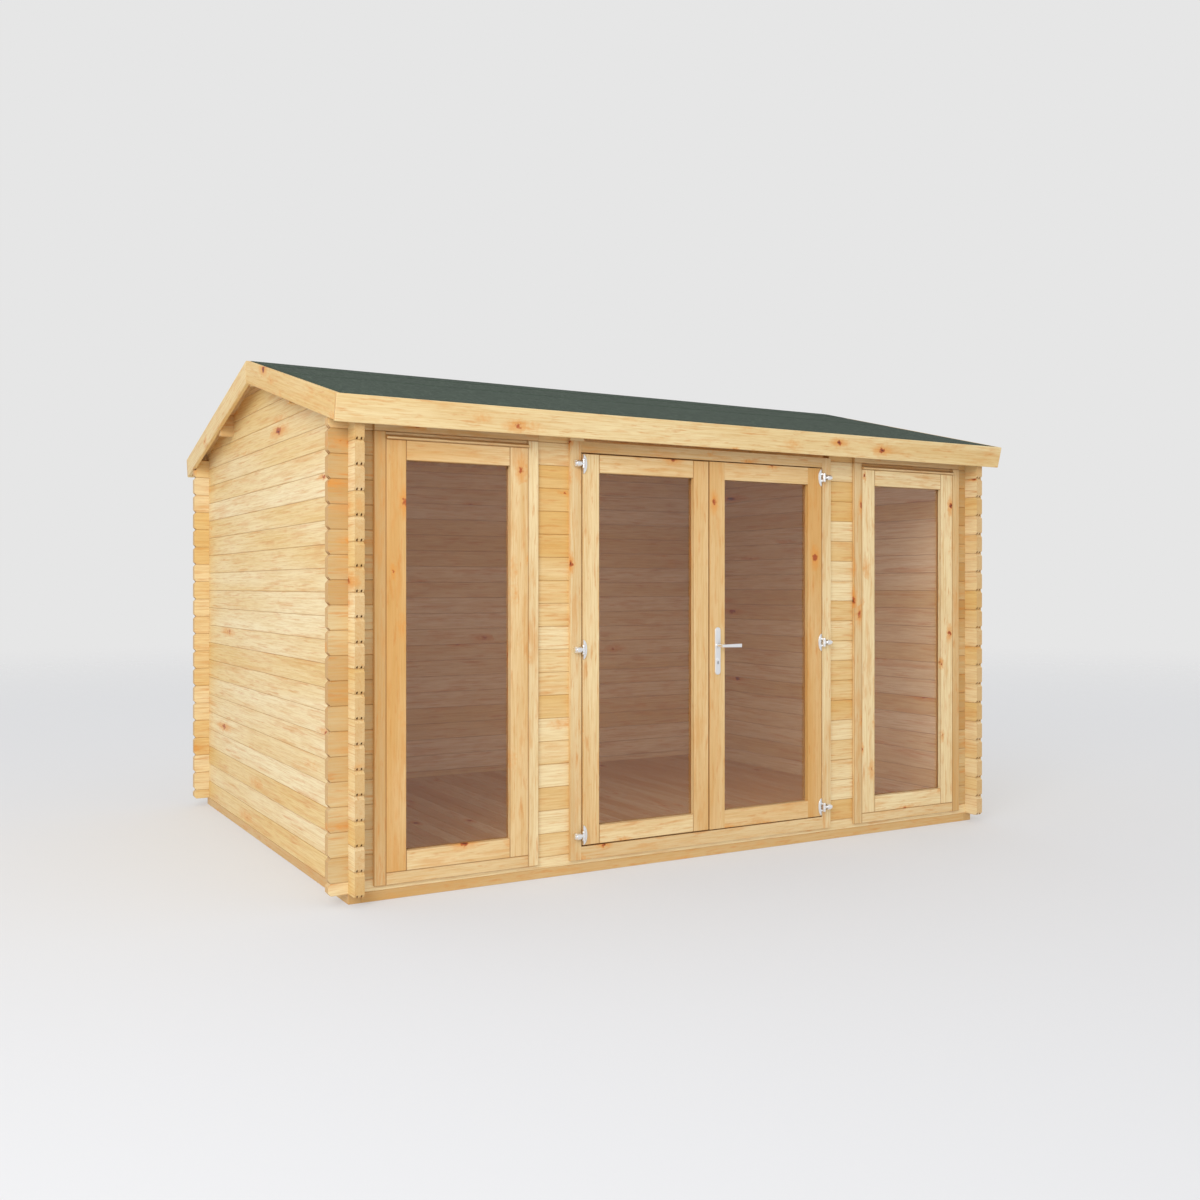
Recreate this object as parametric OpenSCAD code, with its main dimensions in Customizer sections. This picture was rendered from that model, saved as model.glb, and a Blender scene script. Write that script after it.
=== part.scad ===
// Garden log cabin with a gable roof, two fixed windows and a pair of glazed doors.
// The walls are courses of notched logs with a double tongue and groove.
// X runs along the front, the front faces -Y, and Z = 0 is the ground.

/* [Base] */
// Height of the bearers under the walls
bearer_h = 45; // [30:1:80]
// Width of a bearer
bearer_w = 58; // [50:1:90]
// Number of floor joists between the front and back bearers
joist_count = 4; // [2:1:8]
// Thickness of the floor boards
floor_t = 16; // [12:1:22]

/* [Walls] */
// Width over the outer faces of the side walls
wall_w = 3820; // [3400:10:4600]
// Depth over the outer faces of the front and back walls
wall_d = 2820; // [2200:10:3600]
// Thickness of a log
log_t = 44; // [34:1:60]
// Height of one course of logs
log_pitch = 110; // [95:1:130]
// Length of the log ends beyond the crossing wall
log_over = 90; // [60:1:140]
// Chamfer along the faces of a log, which makes the V between courses
log_chamfer = 2.5; // [1:0.5:5]
// Length of the bevel on a log tip
tip_bevel_l = 13; // [5:1:25]
// Height of the bevel on a log tip
tip_bevel_h = 15; // [5:1:22]

/* [Tongue and groove] */
// Width of a tongue
tongue_w = 7; // [5:0.5:9]
// Height of a tongue
tongue_h = 5; // [4:0.5:9]
// Depth of a groove
groove_d = 14; // [10:0.5:16]
// Distance between the two tongues of a log
tongue_spacing = 20; // [16:0.5:22]

/* [Roof] */
// Pitch of the roof in degrees
roof_pitch = 14; // [10:0.5:20]
// Height of the eaves beam on the front and back walls, at its outer face
eaves_beam_h = 33; // [25:1:60]
// Reach of the roof in front of and behind the walls
eaves_over = 150; // [120:1:200]
// Reach of the roof beyond the side walls
verge_over = 100; // [95:1:160]
// Thickness of the roof boards
roof_board_t = 19; // [14:1:28]
// Thickness of the roofing felt
felt_t = 3; // [2:0.5:6]
// Depth of a bargeboard, square to the slope
barge_h = 116; // [80:1:150]
// Thickness of a bargeboard
barge_t = 24; // [16:1:30]
// Depth of a fascia board, square to the slope
fascia_h = 120; // [80:1:125]
// Thickness of a fascia board
fascia_t = 20; // [14:1:30]

/* [Purlins] */
// Width of a purlin
purlin_w = 44; // [34:1:60]
// Height of a side purlin, at its middle
purlin_h = 120; // [90:1:140]
// Height of the ridge purlin, at its middle
ridge_h = 109; // [90:1:140]
// Distance of a side purlin from the ridge
purlin_y = 724; // [600:1:800]

/* [Frames] */
// Thickness of the frame flanges that cover the log ends
flange_t = 18; // [12:1:24]
// Lap of a flange over the log ends
flange_lap = 25; // [15:1:35]
// Thickness of a window frame inside the wall
jamb_t = 30; // [24:1:40]
// Thickness of the door frame inside the wall
door_jamb_t = 35; // [24:1:45]
// Lap of the sill flange below the top of the bottom log
sill_lap = 32; // [15:1:36]
// Height of the sill above the bottom log
sill_h = 22; // [18:1:30]
// Height of the door frame's head
head_h = 53; // [40:1:65]
// Gap over the door frame's head, into which the logs can settle
settle_gap = 41; // [30:1:60]
// Wall between the door frame and a window frame
pier_w = 171; // [120:1:260]
// Wall between a window frame and the corner of the cabin
corner_w = 112; // [90:1:260]

/* [Windows] */
// Rise of the windows' heads above the door's head
window_rise = 5; // [0:1:20]
// Gap over a window's head, below its cover board
window_gap = 15; // [8:1:30]
// Depth of the gap over a window's head, behind the frame's face
window_gap_d = 12; // [8:1:24]
// Lap of a cover board on the head log
board_lap = 13; // [8:1:30]
// Height of a drip bar
drip_h = 19; // [12:1:24]
// Reach of a drip bar in front of the window frame
drip_reach = 16; // [8:1:24]

/* [Doors] */
// Width of a door leaf
leaf_w = 745; // [600:1:760]
// Height of a door leaf
leaf_h = 1897; // [1700:1:2100]
// Rise of the door's sill above the windows' sills
door_sill_rise = 9; // [0:1:15]
// Gap between a leaf and its frame
leaf_gap = 6; // [5:0.5:8]
// Gap between the leaves
meeting_gap = 6; // [5:0.5:10]
// Slant of the meeting edge, which lets one leaf swing past the other
meeting_slant = 5; // [4:0.5:9]
// Reach of the door stop behind a leaf
stop_w = 16; // [10:1:24]
// Width of the cover at the left end of the settling gap
slot_cover_w = 76; // [60:1:120]

/* [Sashes and glass] */
// Thickness of sashes and leaves
sash_t = 40; // [36:1:44]
// Width of a stile
stile_w = 95; // [70:1:120]
// Width of a rail
rail_w = 90; // [70:1:120]
// Setback of the glass behind the sash face
glass_setback = 24; // [18:1:26]
// Thickness of the glass
glass_t = 4; // [3:0.5:6]
// Width of the rebate that holds the glass
rebate_w = 12; // [8:1:18]

/* [Hinges] */
// Height of the hinge plate on a leaf
hinge_h = 94; // [70:1:110]
// Height of a hinge barrel
barrel_h = 50; // [50:1:70]
// Radius of a hinge barrel
barrel_r = 8; // [7:0.5:9]
// Radius of a hinge pin
pin_r = 4; // [3:0.5:5]
// Distance of the hinge axis in front of the doors
hinge_proud = 20; // [16:1:26]
// Distance of an outer hinge's middle from the end of its leaf
hinge_inset = 50; // [47:1:160]
// Height of the hinge plate on the jamb
hinge_plate_h = 36; // [30:1:50]
// Width of the hinge plate on the jamb
hinge_plate_w = 52; // [46:1:56]
// Radius of the boss on a hinge's jamb arm
boss_r = 16; // [12:0.5:16]
// Length of the boss on a hinge's jamb arm
boss_l = 34; // [20:1:36]
// Thickness of the hinge plates
hinge_plate_t = 3; // [2:0.5:5]

/* [Handle] */
// Height of a handle plate
plate_h = 246; // [200:1:260]
// Width of a handle plate
plate_w = 34; // [28:1:44]
// Thickness of a handle plate
plate_t = 8; // [6:0.5:10]
// Height of the lever's axis above the bottom of its leaf
lever_height = 948; // [800:1:1100]
// Distance of the lever's axis below the top of its plate
lever_drop = 95; // [70:1:100]
// Distance from the lever's axis down to the lock cylinder
lock_drop = 72; // [65:1:95]
// Length of the lever
lever_l = 125; // [100:1:150]
// Height of the lever's grip
lever_h = 20; // [16:1:24]
// Thickness of the lever's grip
lever_t = 10; // [8:0.5:14]
// Radius of the lever's neck
neck_r = 9; // [7:0.5:10]
// Reach of the lever in front of the leaf
lever_reach = 60; // [45:1:70]
// Radius of the round part of the lock cylinder
lock_r = 8.5; // [8:0.5:9]
// Width of the web below the round part of the lock cylinder
lock_web_w = 10; // [9:0.5:11]
// Height of the lock cylinder
lock_h = 33; // [30:0.5:36]

/* [Hidden] */
$fn = 48;
// Overrun of every cut past the surface that it opens
overrun = 10;
// Fit between pieces that bear on each other
fit = 0.2;
// Running clearance of a pin or a shaft
running = 0.3;

pine = [0.87, 0.70, 0.45];
pine_light = [0.91, 0.76, 0.53];
pine_dark = [0.80, 0.60, 0.36];
felt_green = [0.25, 0.33, 0.29];
tinted_glass = [0.55, 0.45, 0.40, 0.45];
satin_steel = [0.78, 0.79, 0.80];

// Shares of the log section and its notches
shoulder_share = 0.6;
notch_share = 0.25;
half_share = 0.5;

// Log courses
log_h = log_pitch - fit;
half_log_h = log_pitch * half_share;
notch_d = log_pitch * notch_share + fit * half_share;
groove_w = tongue_w + 2 * running;
side_len = wall_d + 2 * log_over;
front_len = wall_w + 2 * log_over;
side_z = bearer_h;
front_z = bearer_h + half_log_h;
frame_rise = sill_h + door_sill_rise + 2 * leaf_gap + leaf_h + head_h;
courses = 1 + ceil((frame_rise + settle_gap) / log_pitch - half_share);
side_top = side_z + courses * log_pitch;
front_top = front_z + courses * log_pitch;
front_y = -wall_d / 2;

// Roof lines
roof_tan = tan(roof_pitch);
roof_cos = cos(roof_pitch);
roof_sin = sin(roof_pitch);
roof_t = roof_board_t + felt_t;
ridge_under = front_top + eaves_beam_h + roof_tan * wall_d / 2;
ridge_z = ridge_under + roof_t / roof_cos;
gable_courses = ceil((ridge_under - side_top) / log_pitch);
eaves_u = (wall_d / 2 + eaves_over) / roof_cos;
board_end_u = eaves_u - fascia_t - fit;
verge_x = wall_w / 2 + verge_over;
barge_x = verge_x - barge_t;

// Places across the front, from the middle outwards
leaf_x0 = meeting_gap / 2;
leaf_x1 = leaf_x0 + leaf_w;
door_jamb_x = leaf_x1 + leaf_gap;
door_cut_x = door_jamb_x + door_jamb_t;
door_flange_x = door_cut_x + flange_lap;
window_flange_x0 = door_flange_x + pier_w;
window_flange_x1 = wall_w / 2 - corner_w;
window_cut_x0 = window_flange_x0 + flange_lap;
window_cut_x1 = window_flange_x1 - flange_lap;
sash_x0 = window_cut_x0 + jamb_t;
sash_x1 = window_cut_x1 - jamb_t;

// Seats cut for the three sills and slots cut over the three heads, from left to right
sill_seats = [
  [-window_flange_x1, -window_flange_x0],
  [-door_flange_x, door_flange_x],
  [window_flange_x0, window_flange_x1]];
head_slots = [
  [-window_cut_x1, -window_cut_x0],
  [-door_flange_x, door_flange_x],
  [window_cut_x0, window_cut_x1]];

// Heights of the frames
sill_bottom = front_z - sill_lap;
inner_sill_z = bearer_h + floor_t + fit;
sill_top = front_z + sill_h;
door_sill_top = sill_top + door_sill_rise;
leaf_z0 = door_sill_top + leaf_gap;
leaf_z1 = leaf_z0 + leaf_h;
head_z0 = leaf_z1 + leaf_gap;
head_z1 = head_z0 + head_h;
head_log_z = front_z + (courses - 1) * log_pitch;
slot_top = max(head_log_z, head_z1 + settle_gap);
window_head_z0 = head_z0 + window_rise;
window_head_z1 = window_head_z0 + drip_h;
board_z0 = window_head_z1 + window_gap;
board_z1 = slot_top + board_lap;

// Depths of the frames and what they hold
face_y = front_y - flange_t;
inner_y = front_y + log_t;
frame_back_y = inner_y + flange_t;
sash_back_y = face_y + sash_t;
stop_y = sash_back_y + leaf_gap;
glass_y = face_y + glass_setback;
bead_y = glass_y + glass_t;
bead_w = rebate_w - fit;

// Hinges and handle
hinge_x = leaf_x1 + leaf_gap / 2;
hinge_y = face_y - hinge_proud;
eye_h = barrel_h * half_share;
hinge_heights = [leaf_z0 + hinge_inset, (leaf_z0 + leaf_z1) / 2, leaf_z1 - hinge_inset];
handle_x = leaf_x0 + stile_w / 2;
lever_z = leaf_z0 + lever_height;
plate_top = lever_z + lever_drop;
lock_z = lever_z - lock_drop;
spindle_r = neck_r * half_share;
grip_round = lever_t * half_share - fit;

// Top of the felt at a distance from the ridge
function roof_top(y) = ridge_z - roof_tan * abs(y);

// Underside of the roof at a distance from the ridge
function roof_under(y) = ridge_under - roof_tan * abs(y);

// A point of the front slope: u runs down the slope, n up from the felt's surface
function on_slope(u, n) = [-u * roof_cos - n * roof_sin, ridge_z - u * roof_sin + n * roof_cos];

// A point of the front slope on the plumb cut at the ridge
function at_ridge(n) = [-fit * half_share, ridge_z + n / roof_cos];

// One groove of a log, with its roof cut to a point
function groove_points(y) = [
  [y - groove_w / 2, 0],
  [y - groove_w / 2, groove_d * shoulder_share],
  [y, groove_d],
  [y + groove_w / 2, groove_d * shoulder_share],
  [y + groove_w / 2, 0]];

// One tongue of a log, on a top at height h
function tongue_points(y, h) = [
  [y + tongue_w / 2, h],
  [y + tongue_w / 2, h + tongue_h * shoulder_share],
  [y, h + tongue_h],
  [y - tongue_w / 2, h + tongue_h * shoulder_share],
  [y - tongue_w / 2, h]];

// Section of a log across its length
function log_section(h) = concat(
  [[log_chamfer, 0]],
  [for (s = [-1, 1]) each groove_points((log_t + s * tongue_spacing) / 2)],
  [[log_t - log_chamfer, 0], [log_t, log_chamfer], [log_t, h - log_chamfer], [log_t - log_chamfer, h]],
  [for (s = [1, -1]) each tongue_points((log_t + s * tongue_spacing) / 2, h)],
  [[log_chamfer, h], [0, h - log_chamfer], [0, log_chamfer]]);

// Outline of a log's free end from its top to its bottom: bevelled tip and cross notches
function log_end(h, top_notch, bottom_notch) =
  let (n0 = log_over - fit)
  let (n1 = log_over + log_t + fit)
  let (bevel_run = tip_bevel_l * (1 + overrun / tip_bevel_h))
  concat(
    top_notch ? [[n1, h + overrun], [n1, h - notch_d], [n0, h - notch_d], [n0, h + overrun]] : [],
    [[bevel_run, h + overrun], [0, h - tip_bevel_h], [0, tip_bevel_h], [bevel_run, -overrun]],
    bottom_notch ? [[n0, -overrun], [n0, notch_d], [n1, notch_d], [n1, -overrun]] : []);

// Outline of a log's square end
function square_end(h) = [[0, h + overrun], [0, -overrun]];

// The same end seen at the far end of a log
function far_end(points, length) =
  [for (i = [len(points) - 1:-1:0]) [length - points[i][0], points[i][1]]];

// A log along X from the origin, notched and bevelled at its free ends
module log(length, h, near_free, far_free, top_notch, bottom_notch) {
  near = near_free ? log_end(h, top_notch, bottom_notch) : square_end(h);
  far = far_free ? log_end(h, top_notch, bottom_notch) : square_end(h);
  intersection() {
    rotate([90, 0, 90])
      linear_extrude(length)
        polygon(log_section(h));
    translate([0, log_t + overrun, 0])
      rotate([90, 0, 0])
        linear_extrude(log_t + 2 * overrun)
          polygon(concat(near, far_end(far, length)));
  }
}

// A box between two opposite corners
module block(low, high) {
  translate(low)
    cube(high - low);
}

// The space under the roof boards
module under_roof() {
  reach = wall_d / 2 + log_over + overrun;
  translate([-verge_x, 0, 0])
    rotate([90, 0, 90])
      linear_extrude(2 * verge_x)
        polygon([[-reach, 0], [reach, 0], [reach, roof_under(reach) - fit],
          [0, ridge_under - fit], [-reach, roof_under(reach) - fit]]);
}

// One course of a side wall whose inner corner line is at x
module side_log(x, z, top_notch) {
  translate([x, -side_len / 2, z])
    rotate([0, 0, 90])
      log(side_len, log_h, true, true, top_notch, true);
}

module side_wall(x) {
  for (k = [0:courses - 1])
    side_log(x, side_z + k * log_pitch, true);
}

// Logs of a gable, cut to the slope and let in round the purlins
module gable(x) {
  for (k = [0:gable_courses - 1])
    difference() {
      intersection() {
        side_log(x, side_top + k * log_pitch, false);
        under_roof();
      }
      purlin_beam(0, ridge_h, fit);
      for (s = [-1, 1])
        purlin_beam(s * purlin_y, purlin_h, fit);
    }
}

// A purlin with square edges, or its housing when it is grown by a clearance
module purlin_beam(y, h, grow) {
  half_w = purlin_w / 2 + grow;
  block([-barge_x + fit - grow, y - half_w, roof_under(y) - h - grow],
    [barge_x - fit + grow, y + half_w, ridge_z]);
}

// Top full log of the front or back wall, its tips housed for the bargeboards
module top_log(y) {
  housing_z = roof_top(wall_d / 2) - barge_h / roof_cos - fit;
  difference() {
    translate([-front_len / 2, y, head_log_z])
      log(front_len, log_h, true, true, true, true);
    for (s = [-1, 1])
      block([s > 0 ? barge_x - fit : -front_len, y - overrun, housing_z],
        [s > 0 ? front_len : fit - barge_x, y + log_t + overrun, front_top + overrun]);
  }
}

// Logs of the front wall between two places, below the head log
module front_run(x0, x1, near_free, far_free) {
  for (j = [0:courses - 2])
    translate([x0, front_y, front_z + j * log_pitch])
      log(x1 - x0, log_h, near_free, far_free, true, true);
}

// Eaves beam on top of a wall whose outer or inner face starts at y
module eaves_beam(y) {
  length = wall_w - 2 * log_t - 2 * fit;
  intersection() {
    translate([-length / 2, y, front_top])
      log(length, log_h, false, false, false, false);
    under_roof();
  }
}

// Bottom half log of the front or back wall
module bottom_log(y) {
  translate([-front_len / 2, y, bearer_h])
    log(front_len, half_log_h - fit, true, true, true, false);
}

// Slab of the roof between two depths below the felt's surface
module slope_slab(x0, x1, n0, n1, end_u) {
  translate([x0, 0, 0])
    rotate([90, 0, 90])
      linear_extrude(x1 - x0)
        polygon([at_ridge(n0), on_slope(end_u, n0), on_slope(end_u, n1), at_ridge(n1)]);
}

// Both slopes of a roof piece
module both_slopes() {
  children();
  mirror([0, 1, 0])
    children();
}

module fascia() {
  translate([-verge_x, 0, 0])
    rotate([90, 0, 90])
      linear_extrude(2 * verge_x)
        polygon([on_slope(eaves_u, 0), on_slope(eaves_u, -fascia_h),
          on_slope(eaves_u - fascia_t, -fascia_h), on_slope(eaves_u - fascia_t, 0)]);
}

// Section of a frame channel that grips the log ends: the lap is at x = 0 and the inside at x = width
function channel_points(width, stop) = [
  [0, face_y],
  [width, face_y],
  [width, stop > 0 ? stop_y : frame_back_y],
  [width + stop, stop > 0 ? stop_y : frame_back_y],
  [width + stop, frame_back_y],
  [0, frame_back_y],
  [0, inner_y + fit],
  [flange_lap + fit, inner_y + fit],
  [flange_lap + fit, front_y - fit],
  [0, front_y - fit]];

// Upright of a frame from its outer edge at x
module upright(x, width, stop, top) {
  difference() {
    translate([x, 0, sill_bottom])
      linear_extrude(top - sill_bottom)
        polygon(channel_points(width, stop));
    block([x - overrun, front_y - fit, sill_bottom - overrun],
      [x + width + stop + overrun, inner_y + fit, front_z + fit]);
    block([x - overrun, front_y, sill_bottom - overrun],
      [x + width + stop + overrun, frame_back_y + overrun, inner_sill_z]);
  }
}

// Sill or head of a frame between x0 and x1, as a section from z0 upwards
module crosspiece(x0, x1, points) {
  translate([x0 + fit, 0, 0])
    rotate([90, 0, 90])
      linear_extrude(x1 - x0 - 2 * fit)
        polygon(points);
}

// Section of a sill that sits over the bottom log, up to a given top, with a stop of a given height
function sill_points(stop, top) = [
  [face_y, sill_bottom],
  [front_y - fit, sill_bottom],
  [front_y - fit, front_z + fit],
  [inner_y + fit, front_z + fit],
  [inner_y + fit, inner_sill_z],
  [frame_back_y, inner_sill_z],
  [frame_back_y, top + stop],
  [stop_y, top + stop],
  [stop_y, top],
  [face_y, top]];

// Section of the door frame's head, with its stop
function door_head_points() = [
  [face_y, head_z0],
  [stop_y, head_z0],
  [stop_y, head_z0 - stop_w],
  [frame_back_y, head_z0 - stop_w],
  [frame_back_y, head_z1],
  [face_y, head_z1]];

// Section of a window frame's head, which steps back below the cover board
function window_head_points() = [
  [face_y, window_head_z0],
  [frame_back_y, window_head_z0],
  [frame_back_y, board_z0 - fit],
  [face_y + window_gap_d, board_z0 - fit],
  [face_y + window_gap_d, window_head_z1],
  [face_y, window_head_z1]];

// Frame of the right-hand window, with the cover board on the logs over it
module window_frame() {
  width = flange_lap + jamb_t - fit;
  upright(window_flange_x0, width, 0, board_z0 - fit);
  translate([window_flange_x0 + window_flange_x1, 0, 0])
    mirror([1, 0, 0])
      upright(window_flange_x0, width, 0, board_z0 - fit);
  crosspiece(sash_x0, sash_x1, sill_points(0, sill_top));
  crosspiece(sash_x0, sash_x1, window_head_points());
  block([window_flange_x0, face_y, board_z0], [window_flange_x1, front_y - fit, board_z1]);
}

// Stiles and rails round a pane, as pieces that butt together, rebated for the glass
module sash(x0, x1, z0, z1) {
  inner_x0 = x0 + stile_w;
  inner_x1 = x1 - stile_w;
  inner_z0 = z0 + rail_w;
  inner_z1 = z1 - rail_w;
  for (piece = [
      [[x0, z0], [inner_x0, z1]],
      [[inner_x1, z0], [x1, z1]],
      [[inner_x0 + fit, z0], [inner_x1 - fit, inner_z0]],
      [[inner_x0 + fit, inner_z1], [inner_x1 - fit, z1]]])
    difference() {
      block([piece[0][0], face_y, piece[0][1]], [piece[1][0], sash_back_y, piece[1][1]]);
      block([inner_x0 - rebate_w, glass_y, inner_z0 - rebate_w],
        [inner_x1 + rebate_w, sash_back_y + overrun, inner_z1 + rebate_w]);
    }
}

module pane(x0, x1, z0, z1) {
  edge_x = stile_w - rebate_w + fit;
  edge_z = rail_w - rebate_w + fit;
  block([x0 + edge_x, glass_y, z0 + edge_z], [x1 - edge_x, bead_y, z1 - edge_z]);
}

// Beads that hold a pane in its rebate
module beads(x0, x1, z0, z1) {
  edge_x = stile_w - rebate_w + fit;
  edge_z = rail_w - rebate_w + fit;
  front = bead_y + fit;
  for (x = [x0 + edge_x, x1 - edge_x - bead_w])
    block([x, front, z0 + edge_z], [x + bead_w, sash_back_y, z1 - edge_z]);
  for (z = [z0 + edge_z, z1 - edge_z - bead_w])
    block([x0 + edge_x + bead_w + fit, front, z],
      [x1 - edge_x - bead_w - fit, sash_back_y, z + bead_w]);
}

// Sash of the right-hand window within its frame
module window_parts(kind) {
  x0 = sash_x0 + fit;
  x1 = sash_x1 - fit;
  z0 = sill_top + fit;
  z1 = window_head_z0 - fit;
  if (kind == "sash") sash(x0, x1, z0, z1);
  if (kind == "glass") pane(x0, x1, z0, z1);
  if (kind == "beads") beads(x0, x1, z0, z1);
}

// Right-hand leaf with its meeting edge slanted back
module leaf() {
  difference() {
    sash(leaf_x0, leaf_x1, leaf_z0, leaf_z1);
    translate([0, 0, leaf_z0 - overrun])
      linear_extrude(leaf_h + 2 * overrun)
        polygon([[leaf_x0 - overrun, face_y], [leaf_x0, face_y], [leaf_x0 + meeting_slant, sash_back_y],
          [leaf_x0 + meeting_slant, sash_back_y + overrun], [leaf_x0 - overrun, sash_back_y + overrun]]);
  }
}

// Right-hand jamb part of a hinge: plate, arm with its boss, and the eye round the pin
module jamb_hinge() {
  arm_start = hinge_x + barrel_r * half_share;
  arm_end = hinge_x + leaf_gap / 2 + hinge_plate_w;
  boss_end = arm_end - hinge_plate_t;
  plate_y = face_y - hinge_plate_t;
  difference() {
    union() {
      block([hinge_x + leaf_gap / 2, plate_y, -hinge_plate_h / 2],
        [arm_end, face_y - fit, hinge_plate_h / 2]);
      block([arm_start, hinge_y, -pin_r], [boss_end, plate_y, pin_r]);
      translate([arm_start, hinge_y, 0])
        rotate([0, 90, 0])
          cylinder(r = barrel_r, h = boss_end - arm_start);
      translate([boss_end - boss_l, hinge_y, 0])
        rotate([0, 90, 0])
          cylinder(r = boss_r, h = boss_l);
      translate([hinge_x, hinge_y, -eye_h / 2])
        cylinder(r = barrel_r, h = eye_h);
    }
    translate([hinge_x, hinge_y, -barrel_h / 2])
      cylinder(r = pin_r + running, h = barrel_h);
  }
}

// Right-hand leaf part of a hinge: two knuckles, the pin between them and their arms
module leaf_hinge() {
  knuckle_h = (barrel_h - eye_h) / 2 - 2 * running;
  translate([hinge_x, hinge_y, -barrel_h / 2])
    cylinder(r = pin_r, h = barrel_h);
  for (z = [-barrel_h / 2, barrel_h / 2 - knuckle_h]) {
    translate([hinge_x, hinge_y, z])
      cylinder(r = barrel_r, h = knuckle_h);
    block([hinge_x - barrel_r, hinge_y, z], [leaf_x1 - hinge_plate_t, face_y - fit, z + knuckle_h]);
  }
  block([leaf_x1 - hinge_plate_w * half_share, face_y - hinge_plate_t, -hinge_h / 2],
    [leaf_x1 - hinge_plate_t, face_y - fit, hinge_h / 2]);
}

// Outline of a lock cylinder: a round barrel over a web with a round foot, grown by a clearance
module lock_outline(grow) {
  web_r = lock_web_w / 2 + grow;
  foot = lock_h - lock_r - lock_web_w / 2;
  circle(r = lock_r + grow);
  translate([-web_r, -foot])
    square([2 * web_r, foot]);
  translate([0, -foot])
    circle(r = web_r);
}

// The lever's shaft and the lock cylinder, grown by a clearance, right through the leaf
module handle_holes() {
  through = frame_back_y - face_y + 2 * lever_reach;
  translate([handle_x, frame_back_y + lever_reach, lever_z])
    rotate([90, 0, 0])
      cylinder(r = neck_r + running, h = through);
  translate([handle_x, frame_back_y + lever_reach, lock_z])
    rotate([90, 0, 0])
      linear_extrude(through)
        lock_outline(fit);
}

// Long plate with round ends, from a leaf face at y
module handle_plate(y) {
  round_r = plate_w / 2;
  difference() {
    translate([handle_x, y + plate_t, 0])
      rotate([90, 0, 0])
        linear_extrude(plate_t)
          union() {
            for (z = [plate_top - round_r, plate_top - plate_h + round_r])
              translate([0, z])
                circle(r = round_r);
            translate([-round_r, plate_top - plate_h + round_r])
              square([plate_w, plate_h - plate_w]);
          }
    handle_holes();
  }
}

// Grip of the lever: a flat bar with round edges along its length
module grip(y) {
  length = lever_l - neck_r;
  translate([handle_x, y, lever_z])
    rotate([90, 0, 90])
      linear_extrude(length)
        union() {
          for (z = [grip_round - lever_h / 2, lever_h / 2 - grip_round])
            translate([0, z])
              circle(r = lever_t / 2);
          translate([-lever_t / 2, grip_round - lever_h / 2])
            square([lever_t, lever_h - 2 * grip_round]);
        }
}

// One side of the lever: its neck from the leaf face at y and its grip
module lever_side(y, reach) {
  grip_y = y + reach;
  translate([handle_x, max(y, grip_y), lever_z])
    rotate([90, 0, 0])
      cylinder(r = neck_r, h = abs(reach));
  grip(grip_y);
}

// The left-hand copy of a right-hand piece
module left_hand() {
  mirror([1, 0, 0])
    children();
}

module bearers() {
  color(pine_dark) {
    for (s = [-1, 1])
      block([s * wall_w / 2 - (s > 0 ? bearer_w : 0), -wall_d / 2, 0],
        [s * wall_w / 2 + (s < 0 ? bearer_w : 0), wall_d / 2, bearer_h - fit]);
    for (s = [-1, 1])
      block([-wall_w / 2 + bearer_w + fit, s * wall_d / 2 - (s > 0 ? bearer_w : 0), 0],
        [wall_w / 2 - bearer_w - fit, s * wall_d / 2 + (s < 0 ? bearer_w : 0), bearer_h - fit]);
  }
}

module floor_joists() {
  spacing = (wall_d - 2 * bearer_w) / (joist_count + 1);
  color(pine_dark)
    for (i = [1:joist_count])
      translate([-wall_w / 2 + bearer_w + fit, -wall_d / 2 + bearer_w / 2 + i * spacing, 0])
        cube([wall_w - 2 * bearer_w - 2 * fit, bearer_w, bearer_h - fit]);
}

module floor() {
  inset = log_t + fit;
  color(pine)
    block([-wall_w / 2 + inset, -wall_d / 2 + inset, bearer_h],
      [wall_w / 2 - inset, wall_d / 2 - inset, bearer_h + floor_t]);
}

module left_wall() {
  color(pine)
    side_wall(-wall_w / 2 + log_t);
}

module left_gable() {
  color(pine)
    gable(-wall_w / 2 + log_t);
}

module right_wall() {
  color(pine)
    side_wall(wall_w / 2);
}

module right_gable() {
  color(pine)
    gable(wall_w / 2);
}

module back_wall() {
  y = wall_d / 2 - log_t;
  color(pine) {
    bottom_log(y);
    for (j = [0:courses - 2])
      translate([-front_len / 2, y, front_z + j * log_pitch])
        log(front_len, log_h, true, true, true, true);
    top_log(y);
    eaves_beam(y);
  }
}

module front_bottom_log() {
  color(pine)
    difference() {
      bottom_log(front_y);
      for (span = sill_seats)
        block([span[0], front_y - overrun, front_z - fit],
          [span[1], inner_y + overrun, front_z + tongue_h + overrun]);
    }
}

module front_left_end() {
  color(pine)
    front_run(-front_len / 2, -window_cut_x1, true, false);
}

module front_left_pier() {
  color(pine)
    front_run(-window_cut_x0, -door_cut_x, false, false);
}

module front_right_pier() {
  color(pine)
    front_run(door_cut_x, window_cut_x0, false, false);
}

module front_right_end() {
  color(pine)
    front_run(window_cut_x1, front_len / 2, false, true);
}

module front_head_logs() {
  color(pine) {
    difference() {
      top_log(front_y);
      for (span = head_slots)
        block([span[0], front_y - overrun, head_log_z - overrun],
          [span[1], inner_y + overrun, slot_top]);
    }
    eaves_beam(front_y);
  }
}

module ridge_purlin() {
  color(pine_dark)
    intersection() {
      purlin_beam(0, ridge_h, 0);
      under_roof();
    }
}

module side_purlins() {
  color(pine_dark)
    for (s = [-1, 1])
      intersection() {
        purlin_beam(s * purlin_y, purlin_h, 0);
        under_roof();
      }
}

module front_roof_boards() {
  color(pine_light)
    slope_slab(-barge_x + fit, barge_x - fit, -felt_t - fit, -roof_t, board_end_u);
}

module back_roof_boards() {
  color(pine_light)
    mirror([0, 1, 0])
      slope_slab(-barge_x + fit, barge_x - fit, -felt_t - fit, -roof_t, board_end_u);
}

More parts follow.
